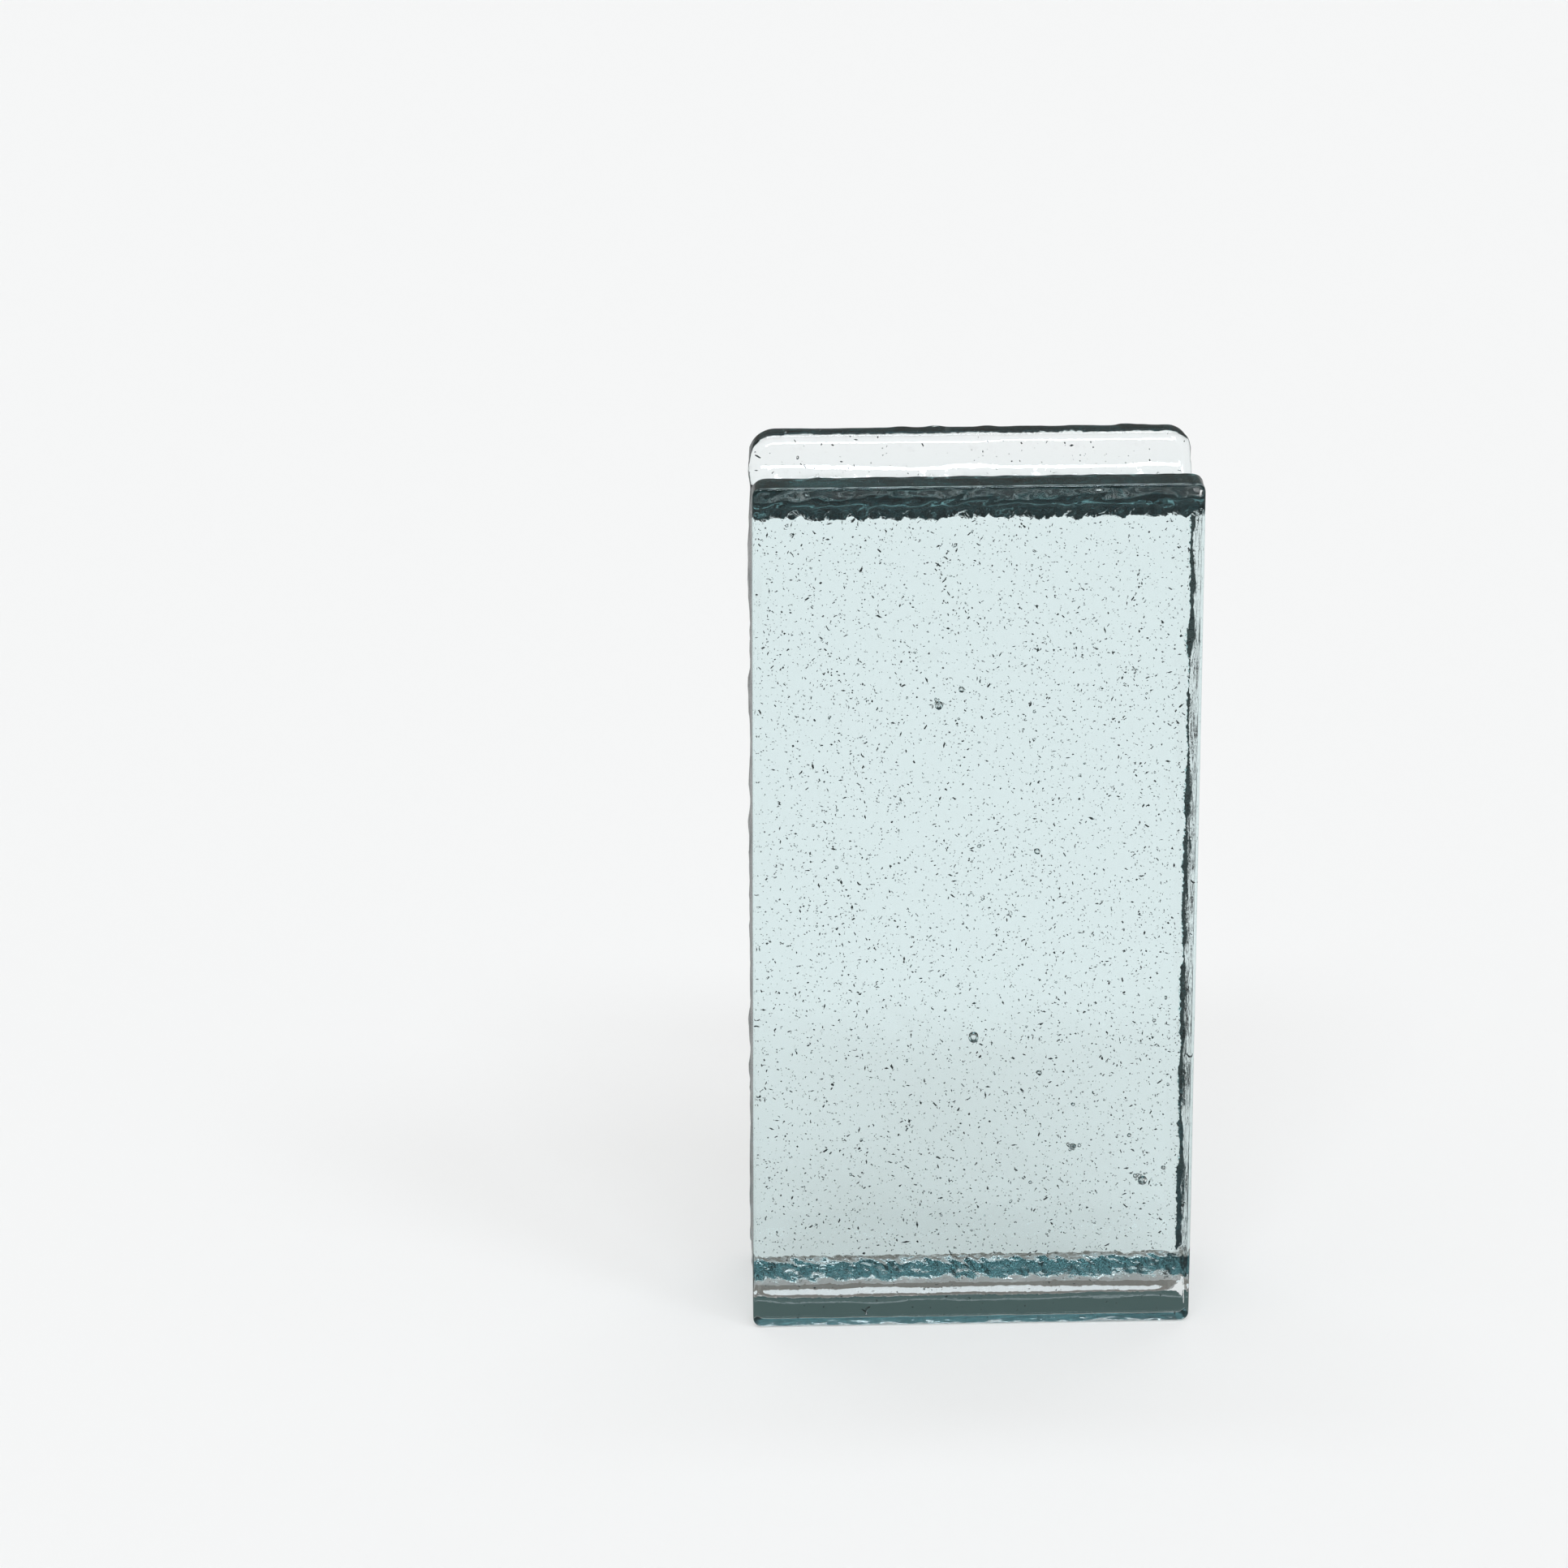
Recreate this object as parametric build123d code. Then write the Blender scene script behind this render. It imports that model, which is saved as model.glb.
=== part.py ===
from build123d import *
import os
from math import sqrt

# Solid block of cast glass, standing on one end.
# A half-round groove for mortar runs across each end, between two lips.
# The front face filled the open side of the mould's frame, so its edges are crisp.
# The back face lay in the bottom of the mould, so its edges and corners are eased.
# The narrow sides lean in towards the back face, so that the block left the mould.
# Origin in the middle of the foot: +X across the width, +Y from front to back, +Z up.

# Overall sizes in millimetres, the width taken at the front face
BLOCK_LENGTH = 240.0
BLOCK_WIDTH = 117.0
BLOCK_THICKNESS = 47.0
# How far each narrow side has leaned in at the back face
SIDE_DRAFT = 0.8
# What is ground off each end of the casting, so that its lips are flat
GROUND_OFF = 0.05

# Groove across each end, centred in the thickness
GROOVE_RADIUS = 15.0
GROOVE_DEPTH = 13.5
# Rounding of the groove's edge where it runs out at the narrow sides
GROOVE_END_RADIUS = 1.2

# Corners of the two wide faces
FRONT_CORNER_RADIUS = 2.5
BACK_CORNER_RADIUS = 7.0

# Rounding all round each wide face, and of each lip's edge along the groove
FRONT_EDGE_RADIUS = 1.0
BACK_EDGE_RADIUS = 2.5
FRONT_LIP_RADIUS = 1.0
BACK_LIP_RADIUS = 3.5
# The most of a lip's width that one rounding may take
LIP_ROUND_SHARE = 0.45

# How far a cutter runs past the block
OVERRUN = 5.0

half_length = BLOCK_LENGTH / 2
half_width = BLOCK_WIDTH / 2
half_thickness = BLOCK_THICKNESS / 2

# A groove shallower than its radius has its centre outside the block
groove_centre = GROOVE_DEPTH - GROOVE_RADIUS
mouth_drop = max(-groove_centre, 0)
half_mouth = sqrt(GROOVE_RADIUS**2 - mouth_drop**2)
lip_width = half_thickness - half_mouth
most_rounding = LIP_ROUND_SHARE * lip_width


def face_outline(width, corner_radius, y):
    """Upright rounded rectangle of one wide face, at the depth y."""
    upright = Plane(origin=(0, y, half_length), x_dir=(1, 0, 0), z_dir=(0, -1, 0))
    return upright * RectangleRounded(width, BLOCK_LENGTH + 2 * GROUND_OFF, corner_radius)


def ungrooved_block():
    """Drafted block between the two face outlines, its face edges rounded and its ends ground."""
    front = face_outline(BLOCK_WIDTH, FRONT_CORNER_RADIUS, -half_thickness)
    back = face_outline(BLOCK_WIDTH - 2 * SIDE_DRAFT, BACK_CORNER_RADIUS, half_thickness)
    block = loft([front, back], ruled=True)
    back_edges = block.faces().sort_by(Axis.Y)[-1].edges()
    block = fillet(back_edges, min(BACK_EDGE_RADIUS, most_rounding))
    front_edges = block.faces().sort_by(Axis.Y)[0].edges()
    block = fillet(front_edges, min(FRONT_EDGE_RADIUS, most_rounding))
    ground = Box(BLOCK_WIDTH + OVERRUN, BLOCK_THICKNESS + OVERRUN, BLOCK_LENGTH)
    return block & Pos(0, 0, half_length) * ground


def groove_prism():
    """Cutter for the foot's groove: its round, running out into the two lips' roundings."""
    slot = Pos(0, -GROOVE_RADIUS) * Rectangle(BLOCK_THICKNESS + OVERRUN, 2 * GROOVE_RADIUS)
    section = slot + Pos(0, groove_centre) * Circle(GROOVE_RADIUS)
    for side, radius in ((-1, FRONT_LIP_RADIUS), (1, BACK_LIP_RADIUS)):
        mouth_corner = section.vertices().sort_by_distance((side * half_mouth, 0))[0]
        section = fillet(mouth_corner, min(radius, most_rounding))
    return extrude(Plane.YZ * section, half_width + OVERRUN, both=True)


def groove_flare():
    """Cutter that rounds the groove's edge at the narrow side in +X: a turned, flared collar."""
    side = half_width - SIDE_DRAFT / 2
    inner = side - GROOVE_END_RADIUS
    flared = GROOVE_RADIUS + GROOVE_END_RADIUS
    flare = RadiusArc((inner, GROOVE_RADIUS), (side, flared), GROOVE_END_RADIUS)
    rest = Polyline(
        (side, flared),
        (side + OVERRUN, flared),
        (side + OVERRUN, 0),
        (inner, 0),
        (inner, GROOVE_RADIUS),
    )
    return Pos(0, 0, groove_centre) * revolve(make_face([flare, rest]), Axis.X)


flare = groove_flare()
foot_cutters = [groove_prism(), flare, mirror(flare, Plane.YZ)]
mid_height = Plane.XY.offset(half_length)

glass_block = ungrooved_block()
for cutter in foot_cutters:
    glass_block -= cutter
    glass_block -= mirror(cutter, mid_height)

os.makedirs("parts", exist_ok=True)
export_step(glass_block, "parts/glass_block.step")
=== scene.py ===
import math
from collections import namedtuple

import bpy
import numpy as np
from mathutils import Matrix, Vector


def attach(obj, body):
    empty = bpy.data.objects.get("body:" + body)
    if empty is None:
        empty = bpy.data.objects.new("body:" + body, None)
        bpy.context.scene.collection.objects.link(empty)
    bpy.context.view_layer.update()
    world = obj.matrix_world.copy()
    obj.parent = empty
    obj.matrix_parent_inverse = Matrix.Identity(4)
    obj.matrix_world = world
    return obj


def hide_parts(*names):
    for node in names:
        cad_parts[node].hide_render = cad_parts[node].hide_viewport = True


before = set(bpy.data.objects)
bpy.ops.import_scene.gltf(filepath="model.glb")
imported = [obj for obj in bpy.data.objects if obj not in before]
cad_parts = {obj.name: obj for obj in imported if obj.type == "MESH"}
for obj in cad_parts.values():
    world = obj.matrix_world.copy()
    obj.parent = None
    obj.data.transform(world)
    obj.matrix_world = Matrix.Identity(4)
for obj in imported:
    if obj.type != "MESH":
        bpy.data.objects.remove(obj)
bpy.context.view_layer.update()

# Glass block: one casting of clear blue-green glass, poured into an iron mould and fire-polished.
# Its front face has crisp edges, its back face eased ones, and a half-round groove crosses each end.
# The chilled skin keeps a shallow hammered relief, which bends what is seen through it.
MM = 0.001
LENGTH = 240 * MM
HALF_WIDTH = 58.5 * MM
HALF_THICKNESS = 23.5 * MM
SIDE_DRAFT = 0.8 * MM
GROOVE_RADIUS = 15 * MM
GROOVE_DEPTH = 13.5 * MM
AXIS_PAST_END = GROOVE_RADIUS - GROOVE_DEPTH

# Roundings at the front and at the back: of the outline's corners, the faces' edges and the grooves' lips
CORNER_RADII = (2.5 * MM, 7 * MM)
EDGE_RADII = (1 * MM, 2.5 * MM)
LIP_RADII = (1 * MM, 3.5 * MM)


def ramp(value, start, fade):
    """0 up to the start, 1 from a fade beyond it, and in proportion between."""
    return np.clip((value - start) / fade, 0, 1)


def from_front_to_back(y, pair):
    """The pair's first value at the front face and its second at the back, in proportion between."""
    return pair[0] + (pair[1] - pair[0]) * ramp(y, -HALF_THICKNESS, 2 * HALF_THICKNESS)


def past_end(z):
    """How far a height lies beyond the nearer end of the block: below zero inside it."""
    return np.abs(z - LENGTH / 2) - LENGTH / 2


def rounded_overlap(a, b, radius):
    """Signed distance to what lies inside both a and b, with their edge rounded.
    Within the radius of both surfaces it is the distance from the rounding's centre, less the radius."""
    inside = np.minimum(np.maximum(a, b), -radius)
    return inside + np.hypot(np.maximum(a + radius, 0), np.maximum(b + radius, 0))


def outside_glass(x, y, z):
    """Signed distance out of the casting: the overlap of its sides, ends and faces, all rounded,
    less the two grooves, whose edges take the lips' roundings."""
    side = np.abs(x) - HALF_WIDTH + from_front_to_back(y, (0, SIDE_DRAFT))
    end = past_end(z)
    outline = rounded_overlap(side, end, from_front_to_back(y, CORNER_RADII))
    casting = rounded_overlap(outline, -y - HALF_THICKNESS, EDGE_RADII[0])
    casting = rounded_overlap(casting, y - HALF_THICKNESS, EDGE_RADII[1])
    groove = GROOVE_RADIUS - np.hypot(y, end - AXIS_PAST_END)
    lip = from_front_to_back(np.clip(2 * y, -HALF_THICKNESS, HALF_THICKNESS), LIP_RADII)
    return rounded_overlap(casting, groove, lip)


def gradient(field, x, y, z, step=0.02 * MM):
    """Slope of the field along the three axes, from its values one step to either side."""
    slope = [
        field(x + step, y, z) - field(x - step, y, z),
        field(x, y + step, z) - field(x, y - step, z),
        field(x, y, z + step) - field(x, y, z - step),
    ]
    return np.array(slope) / (2 * step)


# The mesh's stations are close together at each edge, where the skin rounds, and a pitch apart between
EASING_STEPS = np.array([0, 0.3, 0.6, 0.95, 1.4, 2, 2.8]) * MM
ACROSS_PITCH = 0.8 * MM
ALONG_PITCH = 2.4 * MM
END_PITCH = 0.9 * MM


def eased_stations(length, pitch):
    """Places from 0 to length, close together near both ends and a pitch apart between."""
    middle = length - 2 * EASING_STEPS[-1]
    count = max(int(round(middle / pitch)), 1)
    between = EASING_STEPS[-1] + middle * np.arange(1, count) / count
    return np.concatenate([EASING_STEPS, between, length - EASING_STEPS[::-1]])


# The end's profile, from the front lip through the groove's arc to the back lip
half_mouth = math.sqrt(GROOVE_RADIUS**2 - AXIS_PAST_END**2)
half_arc = math.asin(half_mouth / GROOVE_RADIUS)
lip_places = eased_stations(HALF_THICKNESS - half_mouth, END_PITCH)
arc_angles = eased_stations(2 * half_arc * GROOVE_RADIUS, END_PITCH)[1:-1] / GROOVE_RADIUS - half_arc
end_y = np.concatenate(
    [lip_places - HALF_THICKNESS, GROOVE_RADIUS * np.sin(arc_angles), lip_places + half_mouth]
)
arc_depths = GROOVE_RADIUS * np.cos(arc_angles) - AXIS_PAST_END
end_depth = np.concatenate([0 * lip_places, arc_depths, 0 * lip_places])
across = eased_stations(2 * HALF_WIDTH, ACROSS_PITCH) / HALF_WIDTH - 1
along = eased_stations(LENGTH, ALONG_PITCH) / LENGTH

# A lattice fills the block, and its six outer sheets, pulled onto the rounded casting, are the skin
PULLS = 6
lattice = (len(across), len(end_y), len(along))
column, rank, row = np.meshgrid(*map(np.arange, lattice), indexing="ij")
skin = column % (lattice[0] - 1) == 0
skin |= rank % (lattice[1] - 1) == 0
skin |= row % (lattice[2] - 1) == 0
number = np.full(lattice, -1)
number[skin] = np.arange(skin.sum())
y = end_y[rank[skin]]
x = across[column[skin]] * (HALF_WIDTH - from_front_to_back(y, (0, SIDE_DRAFT)))
z = end_depth[rank[skin]] + along[row[skin]] * (LENGTH - 2 * end_depth[rank[skin]])
for _ in range(PULLS):
    slope = gradient(outside_glass, x, y, z)
    x, y, z = np.array([x, y, z]) - slope * outside_glass(x, y, z) / (slope**2).sum(0)
normal = gradient(outside_glass, x, y, z)
normal /= np.linalg.norm(normal, axis=0)


def quads(sheet, turned):
    """Four-cornered faces of a grid of vertex numbers, wound the other way where turned."""
    corners = [sheet[:-1, :-1], sheet[1:, :-1], sheet[1:, 1:], sheet[:-1, 1:]]
    faces = np.stack([corner.ravel() for corner in corners], axis=1)
    return faces[:, ::-1] if turned else faces


faces = np.concatenate(
    [
        quads(number[:, 0, :], False),
        quads(number[:, -1, :], True),
        quads(number[0, :, :], True),
        quads(number[-1, :, :], False),
        quads(number[:, :, 0], True),
        quads(number[:, :, -1], False),
    ]
)

# Numbers that mix the bits of a cell's counts and of a layer's seed
AXIS_PRIMES = (73856093, 19349663, 83492791)
SEED_PRIME = 2654435761
MIXING_PRIME = 2246822519
MIXING_SHIFTS = (16, 15, 16)
RIDGE_SHARPNESS = 9


def lattice_random(cell, seed):
    """A number from 0 to 1 for each lattice cell, by mixing the bits of its three counts and a seed."""
    mixed = np.zeros(cell.shape[1:], np.uint32)
    for count, prime in zip(cell, AXIS_PRIMES):
        mixed ^= count.astype(np.uint32) * np.uint32(prime)
    mixed += np.uint32(seed * SEED_PRIME % 2**32)
    for shift in MIXING_SHIFTS:
        mixed ^= mixed >> np.uint32(shift)
        mixed *= np.uint32(MIXING_PRIME)
    return mixed / 2.0**32


def hammered(x, y, z, layer):
    """Dents about a size across: minus the squared distance to the nearest scattered centre,
    with the ridges between dents rounded by a soft minimum. From minus the height on a ridge to 0."""
    place = np.array([x, y, z]) / layer.size
    nearest = 0
    for step in np.ndindex(3, 3, 3):
        cell = (np.floor(place) + np.array(step)[:, None] - 1).astype(np.int64)
        centre = cell + np.array([lattice_random(cell, layer.seed + axis) for axis in range(3)])
        nearest = nearest + np.exp(-RIDGE_SHARPNESS * ((place - centre) ** 2).sum(0))
    return layer.height * np.log(nearest) / RIDGE_SHARPNESS


def rolling(x, y, z, layer):
    """Smooth random swells: a random height for each lattice corner a size apart, blended between
    the eight corners by a curve that is level at each of them. From minus the height to the height."""
    place = np.array([x, y, z]) / layer.size
    part = place - np.floor(place)
    blend = part**3 * (6 * part**2 - 15 * part + 10)
    swell = 0
    for step in np.ndindex(2, 2, 2):
        ahead = np.array(step)[:, None]
        cell = (np.floor(place) + ahead).astype(np.int64)
        share = np.where(ahead, blend, 1 - blend).prod(0)
        swell = swell + share * (2 * lattice_random(cell, layer.seed) - 1)
    return layer.height * swell


def by_half(z, pair):
    """The pair's first value in the lower half of the block and its second in the upper."""
    return np.where(z > LENGTH / 2, pair[1], pair[0])


# The relief's layers: the height of each, the size of its dents or swells, and its seed.
# The grooves and the foot took the mould's pebbles, and the melt left waves and streaks as it flowed.
Layer = namedtuple("Layer", "height size seed")
SKIN_SWELLS = Layer(0.05 * MM, 9 * MM, 1)
BACK_WAVES = Layer(0.12 * MM, 5.5 * MM, 2)
BACK_EDGE_WAVES = Layer(by_half(z, (0.45 * MM, 0.60 * MM)), 4.5 * MM, 3)
GROOVE_PEBBLES = Layer(0.45 * MM, 2.6 * MM, 11)
GROOVE_GRIT = Layer(0.15 * MM, 1.7 * MM, 12)
GROOVE_TEETH = Layer(by_half(z, (0.4 * MM, 1.6 * MM)), 1.1 * MM, 14)
GROOVE_WALL_SWELLS = Layer(0.08 * MM, 3 * MM, 13)
POURED_WALL_STREAKS = Layer(0.24 * MM, 1.5 * MM, 15)
FOOT_DENTS = Layer(0.30 * MM, 2.2 * MM, 17)
SIDE_DENTS = Layer(0.50 * MM, 7 * MM, 21)
SIDE_THREADS = Layer(0.10 * MM, 2.2 * MM, 22)
SIDE_LUMPS = Layer(0.45 * MM, 4.5 * MM, 23)
SIDE_SWELLS = Layer(0.30 * MM, 4 * MM, 24)
SIDE_WANDER = Layer(2.2 * MM, 13 * MM, 31)

# How far the groove's relief runs over its edge, and where the pebbles end across it
GROOVE_FADE = 2 * MM
PEBBLES_END = 11 * MM
PEBBLES_FADE = 3 * MM

# Where the streaks and the lumps of the narrow sides begin, from the front to the back
STREAKS_START = -12 * MM
STREAKS_FADE = 8 * MM
LUMPS_START = 4 * MM
LUMPS_FADE = 10 * MM

# Where each layer lies, from 0 to 1
from_groove = np.hypot(y, past_end(z) - AXIS_PAST_END) - GROOVE_RADIUS
grooved = ramp(-from_groove, -GROOVE_FADE, GROOVE_FADE)
pebbly = grooved * ramp(-np.abs(y), -PEBBLES_END, PEBBLES_FADE)
poured_wall = (grooved - pebbly) * (z > LENGTH / 2) * (y < 0)
other_walls = grooved - pebbly - poured_wall
facing_back = np.clip(normal[1], 0, 1) ** 2
front = np.clip(-normal[1], 0, 1) ** 4
back = facing_back * (1 - grooved)
back_edge = 4 * facing_back * (1 - normal[1] ** 2) * (1 - grooved)
back_corner = 4 * facing_back * normal[0] ** 2
flat_end = np.abs(normal[2]) ** 8 * (1 - grooved)
foot = flat_end * (z < LENGTH / 2)
streaked = np.clip(1.6 * normal[0] ** 2, 0, 1) * ramp(y, STREAKS_START, STREAKS_FADE) * (1 - grooved)
towards_back = ramp(y, LUMPS_START, LUMPS_FADE)

# A coordinate that is shortened draws a layer out that way, and one that mixes two axes slants it
wander = rolling(x, y, z, SIDE_WANDER)
relief = rolling(x, y, z, SKIN_SWELLS) * (1 - 0.5 * flat_end)
relief += rolling(x + 0.6 * z, y, 0.5 * z - 0.3 * x, BACK_WAVES) * back
relief += rolling(x, y, z, BACK_EDGE_WAVES) * back_edge
relief += hammered(x + 0.6 * y, 0.7 * y, z, GROOVE_PEBBLES) * pebbly
relief += rolling(x, y, z, GROOVE_GRIT) * pebbly
relief += rolling(x + 0.4 * y, 0.25 * y, 0.25 * z, GROOVE_TEETH) * pebbly
relief += rolling(0.25 * x, y, z, GROOVE_WALL_SWELLS) * other_walls
relief += rolling(0.3 * x + 0.15 * z, 0.5 * y, 0.9 * z - 0.45 * x, POURED_WALL_STREAKS) * poured_wall
relief += (FOOT_DENTS.height + hammered(x, y, z, FOOT_DENTS)) * foot
relief += hammered(x, y + 1.5 * wander, 0.5 * z, SIDE_DENTS) * streaked
relief += rolling(x, y + wander, 0.25 * z, SIDE_THREADS) * streaked
relief += rolling(x, 0.3 * y, 0.8 * z, SIDE_LUMPS) * streaked * towards_back
relief += rolling(x, y + wander, 0.9 * z, SIDE_SWELLS) * streaked
relief -= relief.mean()
vertices = (np.array([x, y, z]) - normal * relief).T
vertices[:, 2] = np.maximum(vertices[:, 2], 0)


def ball(columns, rows):
    """Unit ball: a ring of columns for each row between two poles, with triangles from the poles
    to the first and last rings and two triangles for each cell between rings."""
    turn, fall = np.meshgrid(
        2 * np.pi * np.arange(columns) / columns, np.pi * np.arange(1, rows) / rows, indexing="xy"
    )
    rings = np.stack([np.sin(fall) * np.cos(turn), np.sin(fall) * np.sin(turn), np.cos(fall)], axis=-1)
    points = np.concatenate([rings.reshape(-1, 3), [[0, 0, 1], [0, 0, -1]]])
    index = np.arange(columns * (rows - 1)).reshape(rows - 1, columns)
    ahead = np.roll(index, -1, axis=1)
    top, bottom = len(points) - 2, len(points) - 1
    triangles = [
        np.stack([np.full(columns, top), index[0], ahead[0]], axis=1),
        np.stack([np.full(columns, bottom), ahead[-1], index[-1]], axis=1),
        np.stack([index[:-1].ravel(), index[1:].ravel(), ahead[1:].ravel()], axis=1),
        np.stack([index[:-1].ravel(), ahead[1:].ravel(), ahead[:-1].ravel()], axis=1),
    ]
    return points, np.concatenate(triangles)


def hollows(centres, radii, stretch, draw, columns, rows):
    """Closed inner skins: a ball at each centre, scaled by its radius and drawn out along its own way,
    with its faces turned to look into the hollow."""
    points, triangles = ball(columns, rows)
    along_draw = np.einsum("vc,nc->nv", points, draw)
    shape = points[None] + ((stretch - 1)[:, None] * along_draw)[..., None] * draw[:, None, :]
    shape = centres[:, None, :] + radii[:, None, None] * shape
    first = len(points) * np.arange(len(centres))[:, None, None]
    return shape.reshape(-1, 3), (triangles[None, :, ::-1] + first).reshape(-1, 3)


chance = np.random.default_rng(4)


def places_in_glass(count, cover):
    """Places scattered evenly through the block's box, less those that lack a cover of glass."""
    tries = chance.random((count * 3, 3)) * [2 * HALF_WIDTH, 2 * HALF_THICKNESS, LENGTH]
    tries -= [HALF_WIDTH, HALF_THICKNESS, 0]
    return tries[outside_glass(*tries.T) < -cover][:count]


def ways(count):
    """Directions spread evenly over the sphere: three bell-curve draws each, brought to length 1."""
    way = chance.normal(size=(count, 3))
    return way / np.linalg.norm(way, axis=1, keepdims=True)


def radii_about(middle, spread, least, most, count):
    """Radii, given in mm, whose logarithms follow a bell curve about the middle one's,
    held between the least and the most."""
    return np.clip(chance.lognormal(np.log(middle), spread, count), least, most) * MM


# Blisters: gas that stayed in the melt as small drawn-out hollows, all through the block
BLISTERS = 200
BLISTER_COVER = 1.5 * MM
BLISTER_STRETCHES = (1, 1.9)
skins = [(vertices, faces)]
blister_places = places_in_glass(BLISTERS, BLISTER_COVER)
blister_radii = radii_about(middle=0.27, spread=0.35, least=0.18, most=0.55, count=BLISTERS)
blister_stretch = chance.uniform(*BLISTER_STRETCHES, BLISTERS)
skins.append(hollows(blister_places, blister_radii, blister_stretch, ways(BLISTERS), columns=5, rows=3))

# Bubbles: the larger round hollows, by x, y, z and radius in mm
BUBBLES = np.array(
    [
        [0.4, -10, 80.9, 1.4],
        [-9.3, -4, 174.5, 1.1],
        [-3.5, -6, 179.4, 0.8],
        [17.2, 2, 131, 0.8],
        [2, 5, 132, 0.5],
        [42.4, -8, 50.9, 0.6],
        [48.9, 0, 82.2, 0.5],
        [28, 6, 43.9, 0.8],
        [29.6, 5, 44.4, 0.5],
        [45.9, -12, 38.8, 1.3],
        [44, -11, 39.8, 0.6],
        [18.7, 8, 65, 0.7],
        [28, 10, 55, 0.5],
        [16, -8, 37.4, 0.5],
        [52, -3, 39.7, 0.6],
    ]
)
BUBBLE_STRETCH = 1.15

# Knots: tight clusters of small hollows behind three of the bubbles, by x, y and z in mm
KNOTS = np.array([[-9.3, -2, 174.5], [28, 4, 43.9], [45.9, -8, 38.8]])
KNOT_SPREAD = (0.9, 0.9, 0.7)
KNOT_RADII = (0.22, 0.52)
KNOT_STRETCHES = (1, 1.6)
HOLLOWS_PER_KNOT = 9
knot_count = len(KNOTS) * HOLLOWS_PER_KNOT
knot_places = np.repeat(KNOTS, HOLLOWS_PER_KNOT, axis=0)
knot_places = knot_places + chance.normal(size=(knot_count, 3)) * KNOT_SPREAD
knot_radii = chance.uniform(*KNOT_RADII, knot_count)
knot_stretch = chance.uniform(*KNOT_STRETCHES, knot_count)
skins.append(hollows(knot_places * MM, knot_radii * MM, knot_stretch, ways(knot_count), columns=8, rows=5))
bubble_places, bubble_radii = BUBBLES[:, :3] * MM, BUBBLES[:, 3] * MM
bubble_stretch = np.full(len(BUBBLES), BUBBLE_STRETCH)
skins.append(hollows(bubble_places, bubble_radii, bubble_stretch, ways(len(BUBBLES)), columns=16, rows=10))


def smooth_piece(name, vertices, faces):
    """A smooth-shaded mesh object from vertices and faces, in the scene."""
    mesh = bpy.data.meshes.new(name)
    mesh.from_pydata(vertices, [], faces)
    mesh.shade_smooth()
    piece = bpy.data.objects.new(name, mesh)
    bpy.context.scene.collection.objects.link(piece)
    return piece


first, skin_faces = 0, []
for points, corners in skins:
    skin_faces.extend((corners + first).tolist())
    first += len(points)
skin_points = np.concatenate([points for points, corners in skins])
block = smooth_piece("glass_block_cast", skin_points, skin_faces)

# Heights in mm of the finest relief, which the material's bump gives: pebbles all over, more of them off
# the front, in the grooves and at the back's corners and edges, and braids on the narrow sides
FINE_MM = {"skin": 0.03, "moulded": 0.04, "groove": 0.26, "corner": 0.30, "edge": 0.20, "braid": 0.12}
fine_pebbles = FINE_MM["skin"] + FINE_MM["moulded"] * (1 - front) * (1 - grooved)
fine_pebbles += FINE_MM["groove"] * pebbly + FINE_MM["corner"] * back_corner + FINE_MM["edge"] * back_edge
fine_braids = FINE_MM["braid"] * streaked
for name, heights in (("pebbled", fine_pebbles), ("streaked", fine_braids)):
    values = np.concatenate([heights, np.zeros(len(skin_points) - len(heights))])
    block.data.attributes.new(name, "FLOAT", "POINT").data.foreach_set("value", values)


def linear(hex_colour):
    """sRGB hex to the linear colour that shaders take."""
    channels = [int(hex_colour[n : n + 2], 16) / 255 for n in (1, 3, 5)]
    return [c / 12.92 if c <= 0.04045 else ((c + 0.055) / 1.055) ** 2.4 for c in channels] + [1]


def add_node(tree, kind, inputs=(), **settings):
    """One node of a kind, with its settings, and its inputs set to values or linked to sockets."""
    made = tree.nodes.new(kind)
    for key, value in settings.items():
        setattr(made, key, value)
    for key, value in dict(inputs).items():
        if isinstance(value, bpy.types.NodeSocket):
            tree.links.new(value, made.inputs[key])
        else:
            made.inputs[key].default_value = value
    return made


# Soda-lime glass, cast and fire-polished: clear and mirror-smooth, with bent images and sharp glints.
# Iron in the sand tints it, and the eye sees the tint deepen with the glass that it looks through.
# Pebbles and drawn-out braids that are too fine for the mesh are bump.
GLASS_TINT = "#69d0d4"
GLASS_TINT_DENSITY = 6.0
GLASS_IOR = 1.52
PEBBLE_MM = 1.9
BRAID_MM = 3.0
BRAID_DRAW = (1, 1, 0.4)
glass = bpy.data.materials.new("blue_green_cast_glass")
glass.use_nodes = True
melt = glass.node_tree
melt.nodes.clear()
place = add_node(melt, "ShaderNodeTexCoord")
millimetres = add_node(
    melt, "ShaderNodeVectorMath", {0: place.outputs["Object"], "Scale": 1 / MM}, operation="SCALE"
)
pebbles = add_node(
    melt, "ShaderNodeTexNoise", {"Vector": millimetres.outputs[0], "Scale": 1 / PEBBLE_MM, "Detail": 2.0}
)
drawn = add_node(
    melt, "ShaderNodeVectorMath", {0: millimetres.outputs[0], 1: BRAID_DRAW}, operation="MULTIPLY"
)
braids = add_node(
    melt,
    "ShaderNodeTexNoise",
    {"Vector": drawn.outputs[0], "Scale": 1 / BRAID_MM, "Detail": 2.0, "Distortion": 0.6},
)
height = 0.0
for pattern, name in ((pebbles, "pebbled"), (braids, "streaked")):
    share = add_node(melt, "ShaderNodeAttribute", attribute_name=name)
    height = add_node(
        melt,
        "ShaderNodeMath",
        {0: pattern.outputs["Fac"], 1: share.outputs["Fac"], 2: height},
        operation="MULTIPLY_ADD",
    ).outputs[0]
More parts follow.
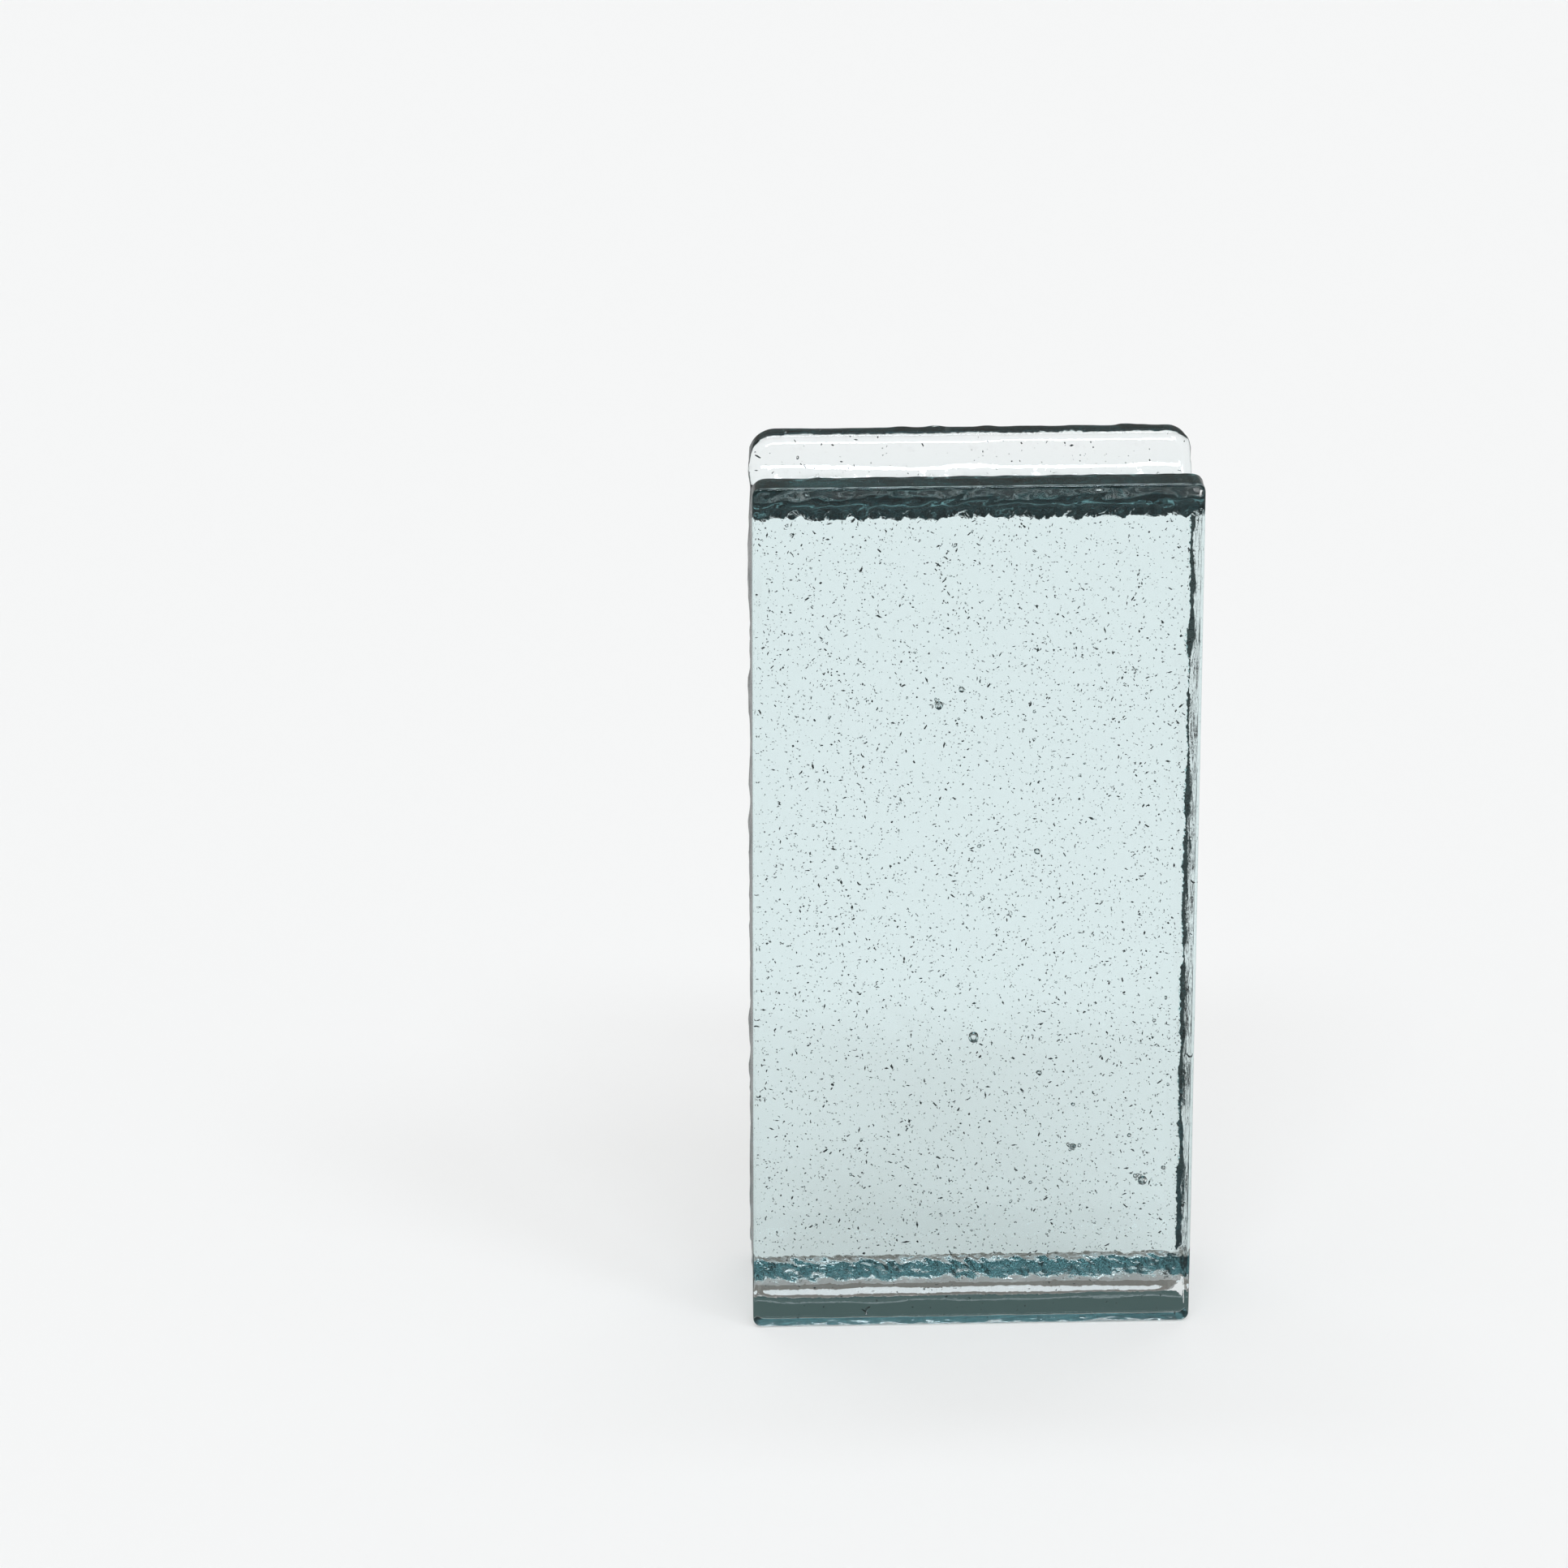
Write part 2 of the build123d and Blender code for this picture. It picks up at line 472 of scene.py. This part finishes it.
skin_bump = add_node(melt, "ShaderNodeBump", {"Height": height, "Strength": 1.0, "Distance": MM})
body = add_node(
    melt,
    "ShaderNodeBsdfPrincipled",
    {
        "Base Color": linear("#ffffff"),
        "Roughness": 0.0,
        "IOR": GLASS_IOR,
        "Transmission Weight": 1.0,
        "Normal": skin_bump.outputs[0],
    },
)
tint = add_node(
    melt, "ShaderNodeVolumeAbsorption", {"Color": linear(GLASS_TINT), "Density": GLASS_TINT_DENSITY}
)
add_node(melt, "ShaderNodeOutputMaterial", {"Surface": body.outputs[0], "Volume": tint.outputs[0]})
block.data.materials.append(glass)
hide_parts("glass_block")
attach(block, "root")

# Seeds: fine gas seeds and grains that were caught in the melt and drawn out a little as it flowed.
# They sit all through the glass and read as dark specks and dashes, because real seeds turn the light away.
# Here that darkness is painted shade: each grain gets a matt, nearly black colour.
# Each is a small closed grain, drawn out along its own way.
SEEDS = 15000
SEED_COVER = 1.2 * MM
MOST_SEED_STRETCH = 4.5
seed_radii = radii_about(middle=0.11, spread=0.40, least=0.06, most=0.30, count=SEEDS)
seed_places = places_in_glass(SEEDS, SEED_COVER)
seed_stretch = 1 + (MOST_SEED_STRETCH - 1) * chance.random(SEEDS) ** 2
points, corners = hollows(seed_places, seed_radii, seed_stretch, ways(SEEDS), columns=4, rows=2)
seeds = smooth_piece("glass_block_seeds", points, corners[:, ::-1].tolist())

# Painted shade for the gas seeds: matt and nearly black with the glass's own cast. It stands in for how
# they look against pale paper, which the eye takes as fine specks and dashes
SEED_PAINTED_SHADE = "#2b3839"
SEED_ROUGHNESS = 0.8
grain = bpy.data.materials.new("seed_painted_shade")
grain.use_nodes = True
grain.node_tree.nodes.clear()
speck = add_node(
    grain.node_tree,
    "ShaderNodeBsdfPrincipled",
    {"Base Color": linear(SEED_PAINTED_SHADE), "Roughness": SEED_ROUGHNESS},
)
add_node(grain.node_tree, "ShaderNodeOutputMaterial", {"Surface": speck.outputs[0]})
seeds.data.materials.append(grain)
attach(seeds, "root")

# Floor: one wide sheet of matt white paper, which the block stands on and which runs on behind it.
# It lies a hair under the block's foot, so that the two faces never share a plane.
FLOOR_REACH = 6.0
FLOOR_HEIGHT = -0.03 * MM
floor_corners = [
    (-FLOOR_REACH, -FLOOR_REACH, FLOOR_HEIGHT),
    (FLOOR_REACH, -FLOOR_REACH, FLOOR_HEIGHT),
    (FLOOR_REACH, FLOOR_REACH, FLOOR_HEIGHT),
    (-FLOOR_REACH, FLOOR_REACH, FLOOR_HEIGHT),
]
floor = smooth_piece("paper_floor", floor_corners, [(0, 1, 2, 3)])


def all_of(tree, *shares):
    """The shares multiplied together, which is 1 only where each of them is 1."""
    product = shares[0]
    for share in shares[1:]:
        product = add_node(tree, "ShaderNodeMath", {0: product, 1: share}, operation="MULTIPLY").outputs[0]
    return product


def in_box(tree, axes, box):
    """1 where each of the box's axes lies within its reach of its middle, and 0 elsewhere."""
    tests = [
        add_node(tree, "ShaderNodeMath", {0: axes.outputs[axis], 1: middle, 2: reach}, operation="COMPARE")
        for axis, (middle, reach) in box.items()
    ]
    return all_of(tree, *[test.outputs[0] for test in tests])


def share_left(tree, amount, limit, level):
    """1 where the amount is up to the limit, and a level above it."""
    above = add_node(tree, "ShaderNodeMath", {0: amount, 1: limit}, operation="GREATER_THAN")
    left = add_node(tree, "ShaderNodeMapRange", {"Value": above.outputs[0], "To Min": 1.0, "To Max": level})
    return left.outputs[0]


# Limits between the whole counts of a ray's turns: reached once, twice and three times
ONCE, TWICE, THRICE = 0.5, 1.5, 2.5


def rays_in_glass(tree):
    """The ray's node, 1 if the ray has entered the glass, and how often the glass turned it back:
    its count of mirrorings, if it entered the glass and met nothing matt on its way."""
    ray = add_node(tree, "ShaderNodeLightPath")
    entered = add_node(
        tree, "ShaderNodeMath", {0: ray.outputs["Transmission Depth"], 1: 1.0}, operation="MINIMUM"
    )
    direct = share_left(tree, ray.outputs["Diffuse Depth"], ONCE, 0.0)
    turns = all_of(tree, ray.outputs["Glossy Depth"], entered.outputs[0], direct)
    return ray, entered.outputs[0], turns


# White drawing paper, uncoated: an even matt white with a soft shadow, which a share of glow keeps pale.
# A ray that the glass turned back sees it darker, in patches. This is painted shade in the paper's colour,
# and it gives the block its dark bands.
# Looked at straight through the glass, the paper under the foot is painted shade: an even grey that glows.
PAPER_COLOUR = "#ededed"
PAPER_GLOW_SHARE = 0.4
PAPER_GLOW = 1.06
UNDER_BLOCK_PAINTED_SHADE = "#425857"
PAINTED_GLINT_COLOUR = "#ffe2de"
MIRRORED_SHADE_LEVEL = 0.45
paper = bpy.data.materials.new("white_paper_painted_shade_and_glints")
paper.use_nodes = True
sheet = paper.node_tree
sheet.nodes.clear()
ray, entered, turns = rays_in_glass(sheet)
spot = add_node(sheet, "ShaderNodeTexCoord")
spot_axes = add_node(sheet, "ShaderNodeSeparateXYZ", {0: spot.outputs["Object"]})

# The paper under the block, by its middle and reach on each axis, where shade is painted
UNDER_BLOCK = {"X": (0.0, HALF_WIDTH), "Y": (5 * MM, 19 * MM)}
covered = in_box(sheet, spot_axes, UNDER_BLOCK)

# The wedge of paper behind the block that its right-hand side mirrors, between two slanting lines.
# Turned rays see painted shade there in patches.
WEDGE_END = 460 * MM
WEDGE_START = 58 * MM
WEDGE_SLANTS = {0.32: "LESS_THAN", 0.85: "GREATER_THAN"}
wedge = share_left(sheet, spot_axes.outputs["Y"], WEDGE_END, 0.0)
for slant, test in WEDGE_SLANTS.items():
    slanted = add_node(
        sheet,
        "ShaderNodeMath",
        {0: spot_axes.outputs["Y"], 1: slant, 2: spot_axes.outputs["X"]},
        operation="MULTIPLY_ADD",
    )
    beyond = add_node(sheet, "ShaderNodeMath", {0: slanted.outputs[0], 1: WEDGE_START}, operation=test)
    wedge = all_of(sheet, wedge, beyond.outputs[0])


def patches(width, depth):
    """Random patches of a width and depth on the paper: smooth noise of its place in those units."""
    units = (1 / width, 1 / depth, 0)
    scaled = add_node(
        sheet, "ShaderNodeVectorMath", {0: spot.outputs["Object"], 1: units}, operation="MULTIPLY"
    )
    noise = add_node(
        sheet, "ShaderNodeTexNoise", {"Vector": scaled.outputs[0], "Scale": 1.0, "Detail": 2.0}
    )
    return noise.outputs["Fac"]


# Painted shade: turned rays see the paper's colour dimmed in patches. Under the block and in the wedge,
# one turn counts as two. What the outside of the glass mirrors is painted evenly darker, as painted shade
# in the reflection.
SHADE_PATCH_SIZE = (25 * MM, 30 * MM)
SHADE_PATCH_RANGE = (0.40, 0.48)
DIM_LEVELS = (0.4, 0.012)
WEDGE_SHADE_PATCH_LIMIT = 0.47
shade_patches = patches(*SHADE_PATCH_SIZE)
patchy = add_node(sheet, "ShaderNodeMath", {0: shade_patches, 1: WEDGE_SHADE_PATCH_LIMIT}, operation="GREATER_THAN")
dark = add_node(
    sheet, "ShaderNodeMath", {0: covered, 1: all_of(sheet, wedge, patchy.outputs[0])}, operation="MAXIMUM"
)
dimness = add_node(
    sheet,
    "ShaderNodeMapRange",
    {
        "Value": shade_patches,
        "From Min": SHADE_PATCH_RANGE[0],
        "From Max": SHADE_PATCH_RANGE[1],
        "To Min": DIM_LEVELS[0],
        "To Max": DIM_LEVELS[1],
    },
)
weighted = add_node(
    sheet, "ShaderNodeMath", {0: turns, 1: dark.outputs[0], 2: turns}, operation="MULTIPLY_ADD"
)
mirrored = add_node(
    sheet, "ShaderNodeMath", {0: ray.outputs["Glossy Depth"], 1: turns}, operation="SUBTRACT"
)
level = all_of(
    sheet,
    share_left(sheet, weighted.outputs[0], TWICE, dimness.outputs[0]),
    share_left(sheet, mirrored.outputs[0], ONCE, MIRRORED_SHADE_LEVEL),
)
# The paper's colour, darkened by the painted shade for turned and mirrored rays
tone = add_node(
    sheet, "ShaderNodeVectorMath", {0: linear(PAPER_COLOUR)[:3], "Scale": level}, operation="SCALE"
)
matt = add_node(sheet, "ShaderNodeBsdfDiffuse", {"Color": tone.outputs[0]})
glow = add_node(sheet, "ShaderNodeEmission", {"Color": tone.outputs[0], "Strength": PAPER_GLOW})
open_paper = add_node(
    sheet, "ShaderNodeMixShader", {0: PAPER_GLOW_SHARE, 1: matt.outputs[0], 2: glow.outputs[0]}
)

# Painted light: under the block, rays that were turned once or twice see glints of light painted into the
# paper's glow, in patches
PAINTED_GLINT_SIZE = (6 * MM, 9 * MM)
PAINTED_GLINT_RANGE = (0.55, 0.66)
PAINTED_GLINT_LEVEL = 0.6
painted_glint_share = add_node(
    sheet,
    "ShaderNodeMapRange",
    {
        "Value": patches(*PAINTED_GLINT_SIZE),
        "From Min": PAINTED_GLINT_RANGE[0],
        "From Max": PAINTED_GLINT_RANGE[1],
        "To Max": PAINTED_GLINT_LEVEL,
    },
)
painted_glints = add_node(
    sheet,
    "ShaderNodeVectorMath",
    {
        0: linear(PAINTED_GLINT_COLOUR)[:3],
        "Scale": all_of(sheet, painted_glint_share.outputs[0], share_left(sheet, turns, THRICE, 0.0)),
    },
    operation="SCALE",
)
# Painted shade under the block: rays straight through the glass see an even grey glow, turned rays the
# painted glints
turned = add_node(sheet, "ShaderNodeMath", {0: turns, 1: ONCE}, operation="GREATER_THAN")
under_block_paint = add_node(
    sheet,
    "ShaderNodeMix",
    {"Factor": turned.outputs[0], "A": linear(UNDER_BLOCK_PAINTED_SHADE), "B": painted_glints.outputs[0]},
    data_type="RGBA",
)
painted_under_block_shade = add_node(sheet, "ShaderNodeEmission", {"Color": under_block_paint.outputs["Result"]})
seen_paper = add_node(
    sheet,
    "ShaderNodeMixShader",
    {0: all_of(sheet, covered, entered), 1: open_paper.outputs[0], 2: painted_under_block_shade.outputs[0]},
)
add_node(sheet, "ShaderNodeOutputMaterial", {"Surface": seen_paper.outputs[0]})
floor.data.materials.append(paper)

# Light: a plain studio of grey walls with five soft boxes of cool white light overhead, all in the world.
# Each box has its middle and reach in the x and y of the direction that it is seen in, and its level.
# In order: a strip over the back, a dim back wall, a dim ceiling, the key behind the camera and a side box.
SOFTBOXES = (
    ({"X": (0.0, 0.35), "Y": (0.27, 0.06)}, 6.36),
    ({"X": (0.0, 0.55), "Y": (0.66, 0.20)}, 0.212),
    ({"X": (0.0, 0.70), "Y": (-0.25, 0.35)}, 0.424),
    ({"X": (0.0, 0.30), "Y": (-0.57, 0.055)}, 13.78),
    ({"X": (0.42, 0.10), "Y": (-0.35, 0.10)}, 8.48),
)
LAMP_COLOUR = "#f2f9ff"
world = bpy.data.worlds.new("studio")
bpy.context.scene.world = world
world.use_nodes = True
studio = world.node_tree
studio.nodes.clear()
way = add_node(studio, "ShaderNodeTexCoord")
way_axes = add_node(studio, "ShaderNodeSeparateXYZ", {0: way.outputs["Generated"]})
ray, entered, turns = rays_in_glass(studio)
lamps = 0.0
for box, level in SOFTBOXES:
    light = all_of(studio, in_box(studio, way_axes, box), level)
    lamps = add_node(studio, "ShaderNodeMath", {0: lamps, 1: light}, operation="ADD").outputs[0]

# The pale sweep low behind the block, which only rays straight through the glass see
SWEEP_TOP = 0.19
SWEEP_LEVEL = 0.689
low = share_left(studio, way_axes.outputs["Z"], SWEEP_TOP, 0.0)
behind = add_node(studio, "ShaderNodeMath", {0: way_axes.outputs["Y"], 1: 0.0}, operation="GREATER_THAN")
straight = share_left(studio, turns, ONCE, 0.0)
sweep = all_of(studio, low, behind.outputs[0], entered, straight, SWEEP_LEVEL)
lamps = add_node(studio, "ShaderNodeMath", {0: lamps, 1: sweep}, operation="ADD").outputs[0]

# Rays that the glass turned twice or more see the lamps at a share, and dark walls that are bluer overhead
TURNED_LAMP_SHARE = 0.2
WALL_COLOUR = "#7e7a75"
TURNED_WALL_COLOUR = "#273033"
TURNED_CEILING_COLOUR = "#69848b"
CEILING_START = 0.55
CEILING = {"X": (0.0, 0.35)}
overhead = add_node(
    studio, "ShaderNodeMath", {0: way_axes.outputs["Z"], 1: CEILING_START}, operation="GREATER_THAN"
)
turned_tone = add_node(
    studio,
    "ShaderNodeMix",
    {
        "Factor": all_of(studio, overhead.outputs[0], in_box(studio, way_axes, CEILING)),
        "A": linear(TURNED_WALL_COLOUR),
        "B": linear(TURNED_CEILING_COLOUR),
    },
    data_type="RGBA",
)
often = add_node(studio, "ShaderNodeMath", {0: turns, 1: TWICE}, operation="GREATER_THAN")
wall_tone = add_node(
    studio,
    "ShaderNodeMix",
    {"Factor": often.outputs[0], "A": linear(WALL_COLOUR), "B": turned_tone.outputs["Result"]},
    data_type="RGBA",
)

# The paper gets more of the walls' even light than the eye sees in the glass, which keeps shadows soft
PAPER_WALL_GAIN = 2.35
scattered = add_node(
    studio, "ShaderNodeMath", {0: ray.outputs["Diffuse Depth"], 1: 1.0}, operation="MINIMUM"
)
wall_level = add_node(
    studio,
    "ShaderNodeMapRange",
    {"Value": scattered.outputs[0], "To Min": 1.0, "To Max": PAPER_WALL_GAIN},
)
lamp_level = all_of(studio, lamps, share_left(studio, turns, TWICE, TURNED_LAMP_SHARE))
lamp_light = add_node(
    studio, "ShaderNodeBackground", {"Color": linear(LAMP_COLOUR), "Strength": lamp_level}
)
wall_light = add_node(
    studio,
    "ShaderNodeBackground",
    {"Color": wall_tone.outputs["Result"], "Strength": wall_level.outputs[0]},
)
both = add_node(studio, "ShaderNodeAddShader", {0: lamp_light.outputs[0], 1: wall_light.outputs[0]})
add_node(studio, "ShaderNodeOutputWorld", {"Surface": both.outputs[0]})

# Camera: a long lens about two metres in front of the block, a metre up and a little to the left.
# It looks down on the upper end, so the front face, the head groove's back lip and the right edge show.
LENS = 188.14
SENSOR_WIDTH = 36
CLIP_RANGE = (0.05, 50)
CAMERA_PLACE = (-0.1194, -1.9941, 0.9795)
CAMERA_PITCH = math.radians(22.62)
CAMERA_YAW = math.radians(2.01)
camera = bpy.data.objects.new("camera", bpy.data.cameras.new("camera"))
bpy.context.scene.collection.objects.link(camera)
camera.data.lens = LENS
camera.data.sensor_width = SENSOR_WIDTH
camera.data.clip_start, camera.data.clip_end = CLIP_RANGE
camera.location = CAMERA_PLACE
flat = math.cos(CAMERA_PITCH)
ahead = Vector((flat * math.sin(CAMERA_YAW), flat * math.cos(CAMERA_YAW), -math.sin(CAMERA_PITCH)))
camera.rotation_mode = "QUATERNION"
camera.rotation_quaternion = ahead.to_track_quat("-Z", "Y")
scene = bpy.context.scene
scene.camera = camera
scene.view_settings.view_transform = "Standard"

# Light needs many turns inside the block, and a cap keeps what the glass focuses from leaving specks
scene.cycles.max_bounces = 14
scene.cycles.transmission_bounces = 12
scene.cycles.glossy_bounces = 12
scene.cycles.sample_clamp_indirect = 3.0
